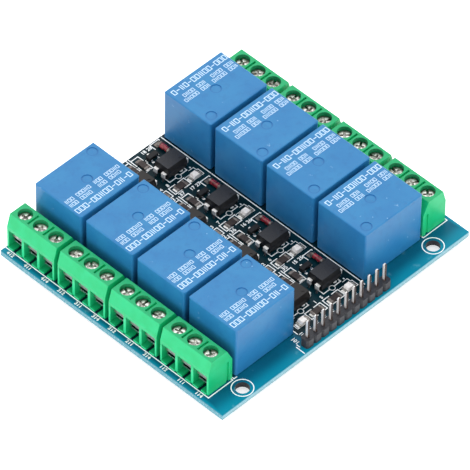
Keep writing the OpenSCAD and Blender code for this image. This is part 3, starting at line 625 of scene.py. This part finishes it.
def add_path(points, z, width):
    """A bent line. Each bar starts and ends half a width late, so that bars meet without lying on each other."""
    closed = points[0] == points[-1]
    for k, (first, last) in enumerate(zip(points, points[1:])):
        first, last = Vector(first), Vector(last)
        corner = (last - first).normalized() * width / 2
        first += corner if k or closed else -corner
        add_bar(*first, *(last + corner), z, width)


def add_ring(x, y, z, outer_r, width, sides=24):
    """A flat ring, from a disc inset by the width of the ring."""
    place = Vector((x, y, z)) * MM
    bpy.ops.mesh.primitive_circle_add(vertices=sides, radius=outer_r * MM, fill_type="NGON", location=place)
    bpy.ops.mesh.inset(thickness=width * MM)
    bpy.ops.mesh.delete(type="FACE")


def close_mesh():
    """Turns all faces outwards and leaves edit mode."""
    bpy.ops.mesh.select_all(action="SELECT")
    bpy.ops.mesh.normals_make_consistent(inside=False)
    bpy.ops.object.mode_set(mode="OBJECT")


def raise_drawing(height_mm):
    """Gives the flat drawing its thickness and leaves edit mode."""
    bpy.ops.mesh.select_all(action="SELECT")
    bpy.ops.mesh.extrude_region_move(TRANSFORM_OT_translate={"value": (0, 0, height_mm * MM)})
    close_mesh()


def copy_piece(piece, place):
    """A copy with its own mesh, put where the matrix says."""
    copy = piece.copy()
    copy.data = piece.data.copy()
    bpy.context.collection.objects.link(copy)
    copy.matrix_world = place
    return copy


# %% [markdown]
# ## White print round the driver parts
# Each channel has the same outlines: brackets round its two resistors, a thin line round the lamp, a line with
# a ring and a dot in front of the optocoupler for its first pin, a bracket behind the diode, and the long edge
# of the relay. The outlines are a table of points, so that one loop draws them. One right-hand channel is drawn
# and its copies step back along the row. The left-hand channels are mirrored, all but the optocoupler's
# outline, because the optocouplers themselves all face the same way.

# %% Board print for the channels
INK_HEIGHT = 0.03
LINE = 0.25
THIN_LINE = 0.15
# Each line: its width, then its points as (distance from the strip's middle, place along the row).
CHANNEL_LINES = (
    # the relay's edge along the strip
    (0.24, (11.15, 8.0), (11.15, -8.3)),
    # the resistor beside the transistor
    (LINE, (0.35, 8.2), (0.3, 5.3)),
    (LINE, (0.5, 7.4), (2.7, 7.4), (2.75, 5.75)),
    (LINE, (0.25, 4.75), (0.2, 3.6)),
    (LINE, (2.75, 4.5), (2.72, 2.45), (0.7, 2.4)),
    # the resistor before the lamp
    (LINE, (2.45, -5.12), (0.42, -5.1), (0.38, -7.5), (2.45, -7.52)),
    (LINE, (3.45, -5.12), (5.45, -5.08), (5.48, -7.5), (3.45, -7.52)),
    # the lamp, with a step at its banded end
    (THIN_LINE, (5.8, -5.3), (7.1, -5.25)),
    (THIN_LINE, (8.0, -4.25), (9.5, -4.25), (9.55, -5.3), (9.95, -5.35), (9.95, -7.35), (6.0, -7.35)),
    (0.3, (8.95, -3.6), (8.95, -3.8)),
    # the diode's banded end
    (LINE, (10.2, 7.75), (10.2, 8.05), (7.25, 8.05), (7.35, 6.25)),
    # short marks round the transistor
    (THIN_LINE, (3.1, 5.2), (3.1, 4.5)),
    (THIN_LINE, (6.8, 5.2), (6.8, 4.5)),
)


def draw_channel(side, y, outline_u, ring_u, dot_u):
    """Draws one channel. side is 1 for the right-hand row and -1 for the left, y its relay's middle.

    The last three say where the optocoupler's outline, ring and dot are, as distances from the strip's middle.
    """
    def at(*points):
        return [(STRIP_X + side * u, y + v) for u, v in points]

    for width, *points in CHANNEL_LINES:
        add_path(at(*points), BOARD_TOP, width)
    # the front of the optocoupler, with the ring and the dot that mark its first pin
    low, high = outline_u
    add_path(at((low, -2.2), (low, -3.78), (ring_u - 0.7, -3.78)), BOARD_TOP, LINE)
    add_path(at((ring_u + 0.7, -3.78), (high, -3.75), (high, -2.2)), BOARD_TOP, LINE)
    add_ring(*at((ring_u, -3.85))[0], BOARD_TOP, 0.82, 0.17)
    add_ring(*at((dot_u, -2.75))[0], BOARD_TOP, 0.55, 0.5, 16)


right_print = start_drawing()
draw_channel(1, relay_middles[5].y, (2.15, 7.85), 4.94, 6.8)
raise_drawing(INK_HEIGHT)
left_print = start_drawing()
draw_channel(-1, relay_middles[1].y, (2.8, 8.5), 5.5, 3.67)
raise_drawing(INK_HEIGHT)
for channels, model in ((LEFT_CHANNELS, left_print), (RIGHT_CHANNELS, right_print)):
    for i in channels[1:]:
        step = relay_middles[i].y - relay_middles[channels[0]].y
        copy = copy_piece(model, Matrix.Translation((0, step * MM, 0)))
        finish_piece(copy, f"board_print_{i}", board_ink)
    finish_piece(model, f"board_print_{channels[0]}", board_ink)
print("print on", len(CHANNELS), "channels,", len(right_print.data.polygons), "faces each")

# %% [markdown]
# ## Print round the board's edge
# A line runs along each row of terminals and turns in at its front end, a small corner marks the front of the
# left-hand relays, and a ring goes round each mounting hole. The header has a line and a tick at its first pin.

# %% Board print along the edges
HOLE_RING_R = 2.72
left_wire_face = corners("terminal_housing_1")[0].x
right_wire_face = corners("terminal_housing_5")[1].x
front_of_blocks = corners("terminal_housing_1")[0].y
back_of_blocks = corners("terminal_housing_4")[1].y
front_of_relays = corners("relay_case_1")[0].y
header_low, header_high = corners("header_strip")

edge_print = start_drawing()
left_line = left_wire_face - 0.27
add_path([(left_line, board_high.y - 0.15), (left_line, front_of_blocks - 0.53),
          (-31.45, front_of_blocks - 0.53), (-31.45, front_of_blocks - 0.1)], BOARD_TOP, 0.25)
right_line = right_wire_face + 0.12
add_path([(right_line, back_of_blocks), (right_line, front_of_blocks - 0.4),
          (31.8, front_of_blocks - 0.4), (31.8, front_of_blocks + 0.3)], BOARD_TOP, 0.23)
add_path([(-30.95, front_of_relays + 0.6), (-30.95, front_of_relays - 0.1), (-30.1, front_of_relays - 0.1)],
         BOARD_TOP, LINE)
add_path([(header_low.x - 1.2, header_high.y - 0.2), (header_low.x - 1.25, board_low.y + 0.25)], BOARD_TOP, LINE)
add_path([(header_low.x - 0.6, header_high.y - 0.6), (header_low.x - 0.6, header_high.y + 0.25)], BOARD_TOP, LINE)
for side in (-1, 1):
    add_ring(side * HOLE_X, HOLE_Y, BOARD_TOP, HOLE_RING_R, 0.24, 48)
raise_drawing(INK_HEIGHT)
finish_piece(edge_print, "edge_print", board_ink)
print("edge print:", len(edge_print.data.polygons), "faces")

# %% [markdown]
# ## Contact numbers
# Every wire entry, header pin and driver part is numbered. A number is a text object with the plain built-in
# font, slightly thickened as screen-printed ink is, and turned into a mesh before its place is applied. All
# numbers of one kind are joined and extruded together, which is quicker than giving each its own depth.
# Contacts are numbered the way relay contacts commonly are: the channel first, then 14, 11 and 12 for the
# working, the common and the resting contact.

# %% Contact numbers
CAPITAL_SHARE = 0.72  # how much of the font's size a figure is high
LABEL_PITCH = 5.7


def make_numbers(name, entries, spacing=1.0):
    """entries holds (text, x, y, height, turn in degrees), centred on each place."""
    texts = []
    for text, x, y, height, degrees in entries:
        bpy.ops.object.text_add(location=Vector((x, y, BOARD_TOP)) * MM, rotation=(0, 0, math.radians(degrees)))
        label = bpy.context.object
        label.data.body = text
        label.data.size = height * MM / CAPITAL_SHARE
        label.data.align_x = "CENTER"
        label.data.align_y = "CENTER"
        label.data.offset = 0.05 * MM
        label.data.space_character = spacing
        label.data.resolution_u = 2
        texts.append(label)
    bpy.ops.object.select_all(action="DESELECT")
    for label in texts:
        label.select_set(True)
    bpy.context.view_layer.objects.active = texts[0]
    bpy.ops.object.convert(target="MESH")
    bpy.ops.object.join()
    piece = bpy.context.object
    bpy.ops.object.transform_apply(location=True, rotation=True, scale=True)
    bpy.ops.object.mode_set(mode="EDIT")
    raise_drawing(INK_HEIGHT)
    finish_piece(piece, name, board_ink)
    print(name, len(entries), "numbers")


entries = []
for i in CHANNELS:
    block = middle(f"terminal_housing_{i}")
    side = side_of(i)
    x, height = (left_wire_face - 1.08, 0.95) if side < 0 else (right_wire_face + 0.72, 0.7)
    for k, contact in enumerate(("14", "11", "12")):
        y = block.y - 0.3 - side * (k - 1) * LABEL_PITCH
        entries.append((f"{i}{contact}", x, y, height, side * 90))
make_numbers("contact_numbers", entries, 1.08)

# %% [markdown]
# ## Part and pin numbers
# The header's pins are numbered from 101 to 111, one number behind each pin, turned so that it fits the pitch.
# Three driver parts of each channel have 1, 2 or 3 first and then the channel, and the channel alone stands in
# front of the optocoupler. The last channels have less board behind them, so their numbers stand closer and one
# is left out.

# %% Part and pin numbers
HEADER_PITCH = 2.54
HEADER_COUNT = 11
header_middle = middle("header_strip")
entries = []
for k in range(HEADER_COUNT):
    x = header_middle.x + (k - (HEADER_COUNT - 1) / 2) * HEADER_PITCH
    entries.append((str(101 + k), x - 1.3, header_high.y + 1.4, 1.05, -90))
for i in CHANNELS:
    last = i in (LEFT_CHANNELS[-1], RIGHT_CHANNELS[-1])
    behind = 7.35 if last else 7.85
    numbers = [(f"1{i}", 4.6, behind, 1.0), (f"2{i}", 6.45, behind, 1.0), (str(i), 1.05, -4.2, 0.95)]
    if not last:
        numbers.append((f"3{i}", 1.6, 8.3, 1.15))
    entries += [(text, STRIP_X + side_of(i) * u, relay_middles[i].y + v, height, 0)
                for text, u, v, height in numbers]
make_numbers("part_numbers", entries)

# %% [markdown]
# ## Print on the relays
# Each relay carries pale print near one long edge. It is kept as rows of plain shapes: hollow cells, bars and
# dashes, a tall row along the edge and two smaller rows inside it in two columns. A row is written as a string
# of letters, one for each shape, which is shorter than a list of places. One top is drawn, and the right-hand
# relays have it turned half round, as the relays themselves are.

# %% Relay print
RELAY_INK_HEIGHT = 0.02
TALL_ROW = "cccdccbccdcbdc"
SMALL_ROWS = (("bcc cccbc", -2.4), ("bcc ccbc", -3.88))
COLUMNS = (-8.9, 0.3)
SHAPE_SHARE = 0.68  # how much of its pitch a shape fills


def draw_row(shapes, x, y, pitch, height, line):
    """c is a hollow cell, b a pair of bars, d a dash and a space a gap."""
    width = SHAPE_SHARE * pitch
    low, high = y, y + height
    for shape in shapes:
        left, right = x, x + width
        paths = {
            "c": [[(left, low), (right, low), (right, high), (left, high), (left, low)]],
            "b": [[(bar, low), (bar, high)] for bar in (left + 0.2 * width, right - 0.2 * width)],
            "d": [[(left + 0.1 * width, (low + high) / 2), (right - 0.1 * width, (low + high) / 2)]],
        }.get(shape, [])
        for points in paths:
            add_path(points, RELAY_TOP, line)
        x += pitch


first_relay = relay_middles[1]
relay_print = start_drawing()
draw_row(TALL_ROW, first_relay.x - 9.0, first_relay.y - 6.4, 1.28, 1.4, 0.22)
for column_x in COLUMNS:
    for shapes, row_y in SMALL_ROWS:
        draw_row(shapes, first_relay.x + column_x, first_relay.y + row_y, 0.9, 0.95, 0.15)
raise_drawing(RELAY_INK_HEIGHT)
to_middle = Matrix.Translation((first_relay.x * MM, first_relay.y * MM, 0))
half_turn = to_middle @ Matrix.Rotation(math.pi, 4, "Z") @ to_middle.inverted()
for i in CHANNELS[1:]:
    step = relay_middles[i] - first_relay
    place = Matrix.Translation((step.x * MM, step.y * MM, 0))
    copy = copy_piece(relay_print, place @ half_turn if i in RIGHT_CHANNELS else place)
    finish_piece(copy, f"relay_print_{i}", relay_ink)
finish_piece(relay_print, "relay_print_1", relay_ink)
print("relay print:", len(relay_print.data.polygons), "faces each")

# %% [markdown]
# ## Where the leads come through
# Every lead that comes through the board is soldered underneath. The places could be worked out from the
# pitches of the parts, but the CAD meshes already hold them: whatever of a node lies below the board is
# gathered into one place for each lead.

# %% Find the leads
def lead_places(node, below_mm=0.3, apart_mm=0.9):
    """The middle of every lead of a node, from its mesh points below the board."""
    groups = []
    for vertex in nodes[node].data.vertices:
        x, y, z = vertex.co / MM
        if z > BOARD_BOTTOM - below_mm:
            continue
        for group in groups:
            if abs(group[0][0] - x) < apart_mm and abs(group[0][1] - y) < apart_mm:
                group.append((x, y))
                break
        else:
            groups.append([(x, y)])
    centres = []
    for group in groups:
        xs, ys = [p[0] for p in group], [p[1] for p in group]
        centres.append(((min(xs) + max(xs)) / 2, (min(ys) + max(ys)) / 2))
    return centres


leads = {
    "relay_solder": lead_places("relay_terminals"),
    "terminal_solder": lead_places("terminal_clamps_left") + lead_places("terminal_clamps_right"),
    "header_solder": lead_places("header_pins"),
    "optocoupler_solder": lead_places("optocoupler_leads"),
}
print({name: len(places) for name, places in leads.items()})

# %% [markdown]
# ## Solder joints
# Molten solder climbs the lead and thins out over its round copper land, so a joint is a low cone with hollow
# sides. It could be spun from a profile, but a disc that is inset and pushed out a step at a time gives the
# same shape from two operators. One joint is made for each kind of lead and copied to all of them.

# %% Solder joints
JOINT_RISE = (0.04, 0.16, 0.3, 0.5, 0.8)
JOINT_RADIUS = (1.0, 0.86, 0.66, 0.48, 0.34)
JOINT_SIZES = {"relay_solder": (1.15, 1.0), "terminal_solder": (1.3, 1.1), "header_solder": (0.82, 0.95),
               "optocoupler_solder": (0.8, 0.9)}


def start_disc(radius, sides, z):
    """A flat disc at the middle of the board, left in edit mode with its face selected."""
    bpy.ops.object.select_all(action="DESELECT")
    place = (0, 0, z * MM)
    bpy.ops.mesh.primitive_circle_add(vertices=sides, radius=radius * MM, fill_type="NGON", location=place)
    disc = bpy.context.object
    bpy.ops.object.mode_set(mode="EDIT")
    bpy.ops.mesh.select_mode(type="FACE")
    bpy.ops.mesh.select_all(action="SELECT")
    return disc


def step_in(inset_mm, rise_mm):
    """Insets the selected face and moves it up, or down if the rise is negative."""
    bpy.ops.mesh.inset(thickness=inset_mm * MM)
    bpy.ops.transform.translate(value=(0, 0, rise_mm * MM))


def make_joint(scale, height):
    """A hollow-sided cone of solder under the board, pointing down."""
    joint = start_disc(JOINT_RADIUS[0] * scale, 14, BOARD_BOTTOM)
    bpy.ops.mesh.extrude_region_move(TRANSFORM_OT_translate={"value": (0, 0, -JOINT_RISE[0] * MM)})
    for low, high, wide, narrow in zip(JOINT_RISE, JOINT_RISE[1:], JOINT_RADIUS, JOINT_RADIUS[1:]):
        step_in((wide - narrow) * scale, (low - high) * height)
    close_mesh()
    return joint


def join_copies(model, places, name, material, smooth_degrees=50):
    """Puts a copy of the model at each (x, y, heading), and joins the copies into one finished piece."""
    bpy.ops.object.select_all(action="DESELECT")
    for x, y, heading in places:
        copy = copy_piece(model, Matrix.Translation((x * MM, y * MM, 0)) @ Matrix.Rotation(heading, 4, "Z"))
        copy.select_set(True)
        bpy.context.view_layer.objects.active = copy
    bpy.data.objects.remove(model)
    bpy.ops.object.join()
    finish_piece(bpy.context.object, name, material)
    bpy.ops.object.shade_smooth_by_angle(angle=math.radians(smooth_degrees))
    print(name, "from", len(places), "copies")


for name, places in leads.items():
    join_copies(make_joint(*JOINT_SIZES[name]), [(x, y, 0) for x, y in places], name, solder)

# %% [markdown]
# ## Lands on the top
# The optocouplers' holes are plated through, so a ring of tin shows round each lead on the top as well. It is
# the same kind of shape as a joint, but lower and flatter: a thin disc, then a rim, then a small cone.

# %% Lands round the optocoupler leads
land = start_disc(0.85, 18, BOARD_TOP)
bpy.ops.mesh.extrude_region_move(TRANSFORM_OT_translate={"value": (0, 0, 0.04 * MM)})
step_in(0.3, 0.1)
step_in(0.2, 0.2)
close_mesh()
join_copies(land, [(x, y, 0) for x, y in leads["optocoupler_solder"]], "optocoupler_lands", land_tin)

# %% [markdown]
# ## A wedge of solder
# The chip parts sit on two lands each, with a wedge of solder against each end. A wedge starts as a cube. Its
# mesh is subdivided, its far part is squeezed down towards the board in two steps, which makes the slope
# hollow, and a small bevel rounds the edges as surface tension does.

# %% Solder wedge
def make_wedge(reach, width, height, lap):
    """Solder against a chip's end at the origin: it falls away along +X and laps back over the end by lap."""
    bpy.ops.object.select_all(action="DESELECT")
    place = Vector(((reach - lap) / 2, 0, BOARD_TOP + height / 2)) * MM
    bpy.ops.mesh.primitive_cube_add(size=MM, location=place, scale=(reach + lap, width, height))
    wedge = bpy.context.object
    bpy.ops.object.transform_apply(location=True, rotation=False, scale=True)
    bpy.ops.object.mode_set(mode="EDIT")
    bpy.ops.mesh.select_all(action="SELECT")
    bpy.ops.mesh.subdivide(number_cuts=3)
    for share, squeeze in ((0.1, 0.8), (0.6, 0.45)):
        bpy.ops.object.mode_set(mode="OBJECT")
        for vertex in wedge.data.vertices:
            vertex.select = vertex.co.x > share * reach * MM
        bpy.ops.object.mode_set(mode="EDIT")
        bpy.ops.transform.resize(value=(1, 0.92, squeeze), center_override=Vector((0, 0, BOARD_TOP)) * MM)
    close_mesh()
    rounding = wedge.modifiers.new("rounding", "BEVEL")
    rounding.width = 0.07 * MM
    rounding.segments = 2
    bpy.ops.object.modifier_apply(modifier=rounding.name)
    return wedge


# %% [markdown]
# ## Solder at the ends of the chip parts
# Chip ends that face the front and left get a wedge that laps over the end, bright with a painted reflection,
# as do the transistors' feet; the other ends and the diodes' ends get a leaner wedge, dull with painted shade.
# Each wedge is placed by where its part ends and by the heading that it falls away in: 0 is +X, and the others
# follow by quarter turns.

# %% Solder at the ends of the chip parts
TOWARDS_RIGHT, TOWARDS_BACK, TOWARDS_LEFT, TOWARDS_FRONT = (k * math.pi / 2 for k in range(4))
# Each part: distance from the strip's middle and place along the row, half length, whether it lies across.
CHIPS = ((1.5, 4.45, 1.6, False), (2.9, -6.6, 1.6, True), (7.65, -6.6, 1.6, True))
DIODE = (8.8, 4.5, 1.75)
TRANSISTOR_FEET = ((4.95, 6.1, TOWARDS_BACK), (4.0, 3.6, TOWARDS_FRONT), (5.9, 3.6, TOWARDS_FRONT))

bright, dull, diode_front, diode_back, feet = [], [], [], [], []
for i in CHANNELS:
    side, y = side_of(i), relay_middles[i].y
    for u, v, half, across in CHIPS:
        x = STRIP_X + side * u
        if across:
            bright.append((x - half, y + v, TOWARDS_LEFT))
            dull.append((x + half, y + v, TOWARDS_RIGHT))
        else:
            bright.append((x, y + v - half, TOWARDS_FRONT))
            dull.append((x, y + v + half, TOWARDS_BACK))
    u, v, half = DIODE
    diode_front.append((STRIP_X + side * u, y + v - half, TOWARDS_FRONT))
    diode_back.append((STRIP_X + side * u, y + v + half, TOWARDS_BACK))
    feet += [(STRIP_X + side * u, y + v, heading) for u, v, heading in TRANSISTOR_FEET]
join_copies(make_wedge(0.5, 1.55, 0.7, 0.55), bright, "chip_solder_bright", lit_solder, 60)
join_copies(make_wedge(0.5, 1.5, 0.4, 0.0), dull, "chip_solder_dull", shaded_solder, 60)
join_copies(make_wedge(0.4, 1.2, 0.5, 0.0), diode_front, "diode_solder_front", shaded_solder, 60)
join_copies(make_wedge(1.3, 1.9, 0.5, 0.0), diode_back, "diode_solder_back", shaded_solder, 60)
join_copies(make_wedge(0.35, 0.7, 0.32, 0.3), feet, "transistor_solder", lit_solder, 60)

# %% [markdown]
# ## Copper tracks under the mask
# Underneath, broad tracks carry the mains current from each relay's contacts to its terminals, and narrow
# ones run to the driver strip. They could be a pattern in the board's material, but real copper lifts the mask
# a little, and its edges catch the light. They are drawn the same way as the print, in a lighter teal.

# %% Tracks on the underside
TRACK_HEIGHT = 0.04
BROAD_TRACK = 1.9
track_z = BOARD_BOTTOM - TRACK_HEIGHT
tracks = start_drawing()
for i in CHANNELS:
    side, relay, block = side_of(i), relay_middles[i], middle(f"terminal_housing_{i}")
    clamp_x = min((x for x, y in leads["terminal_solder"]), key=lambda x: abs(x - block.x))
    strip_lead_x = STRIP_X + side * 8.96
    for s in (-1, 1):
        add_path([(relay.x + side * 7.1, relay.y + s * 6.0), (clamp_x - side * 1.5, relay.y + s * 6.0),
                  (clamp_x, block.y + s * POLE_PITCH)], track_z, BROAD_TRACK)
    add_path([(relay.x - side * 7.1, relay.y), (clamp_x, relay.y), (clamp_x, block.y)], track_z, BROAD_TRACK)
    for s in (-1, 1):
        add_path([(relay.x - side * 5.1, relay.y + s * 6.0), (strip_lead_x, relay.y + s * 4.5),
                  (strip_lead_x, relay.y + s * 1.5)], track_z, 0.5)
    add_path([(STRIP_X + side * 1.34, relay.y - 2.4), (STRIP_X + side * 1.34, relay.y - 5.5)], track_z, 0.4)
add_path([(STRIP_X, board_low.y + 4.0), (STRIP_X, board_high.y - 3.0)], track_z, 1.2)
raise_drawing(TRACK_HEIGHT)
finish_piece(tracks, "underside_tracks", covered_copper)
print("underside tracks:", len(tracks.data.polygons), "faces")

# %% [markdown]
# ## Floor
# The board lies on white paper. Paper that is merely lit would come out grey next to its own shadow, and more
# light would bleach the board. So the paper also glows, but only for the camera and for reflections: the
# background is white, no light reaches the object from below, and the object keeps its shadow.

# %% Floor
FLOOR_SIZE = 3.0
bpy.ops.object.select_all(action="DESELECT")
bpy.ops.mesh.primitive_plane_add(size=FLOOR_SIZE, location=(0, 0, cad_box[0][2]))
floor = bpy.context.object
floor.name = "floor"
paper, add, surface, place = new_material("white_paper", "#f2f2f2", 0.9)
rays = add("light_path")
seen = add("MAXIMUM", rays["Is Camera Ray"], rays["Is Glossy Ray"])
glow = add("emission", add("MULTIPLY", seen, 0.6))
add("add_shaders", surface.outputs[0], glow, to=paper.node_tree.nodes["Material Output"].inputs["Surface"])
floor.data.materials.append(paper)
print("floor at", round(cad_box[0][2] / MM, 2), "mm")

# %% [markdown]
# ## Light tent
# A bright even dome stands for a light tent, and is plain white where the camera sees it. Five soft boxes
# shape the board: a strong one from the left lifts the wire faces of the terminals, one from behind and one
# from the right light the relays' tops and long sides, and weaker ones from above and in front keep the shadows
# open. Lamps as large as these are soft by themselves, so nothing has to be placed between them and the board.

# %% Light tent
DOME_STRENGTH = 1.25
world = bpy.data.worlds.new("light_tent")
bpy.context.scene.world = world
world.use_nodes = True
add = partial(add_node, world.node_tree)
rays = add("light_path")
seen = add("MAXIMUM", rays["Is Camera Ray"], rays["Is Transmission Ray"])
dome = add("background", "#ffffff", DOME_STRENGTH)
plain = add("background", "#ffffff", 1.0)
add("mix_shaders", seen, dome, plain, to=world.node_tree.nodes["World Output"].inputs["Surface"])


def add_softbox(name, towards, size, power):
    """A square lamp a metre away that looks at the middle of the board."""
    towards = Vector(towards).normalized()
    bpy.ops.object.light_add(type="AREA", location=towards)
    lamp = bpy.context.object
    lamp.name = name
    lamp.rotation_euler = towards.to_track_quat("Z", "Y").to_euler()
    lamp.data.shape = "SQUARE"
    lamp.data.size = size
    lamp.data.energy = power


add_softbox("top_softbox", (0.0, -0.25, 1.0), 0.8, 0.55)
add_softbox("front_softbox", (0.25, -1.0, 0.4), 0.6, 0.61)
add_softbox("left_softbox", (-1.0, -0.1, 0.35), 0.6, 2.02)
add_softbox("right_softbox", (1.0, -0.3, 0.6), 0.6, 0.91)
add_softbox("back_softbox", (0.3, 0.8, 0.9), 0.8, 1.17)
bpy.context.scene.view_settings.view_transform = "Standard"
print("lamps:", len(bpy.data.lights))

# %% [markdown]
# ## Sizes and finish
# The CAD model's box is printed. The new pieces must not make the object larger than its construction.

# %% Write the sizes and finish
print("CAD box", [[round(v / MM, 2) for v in c] for c in cad_box])
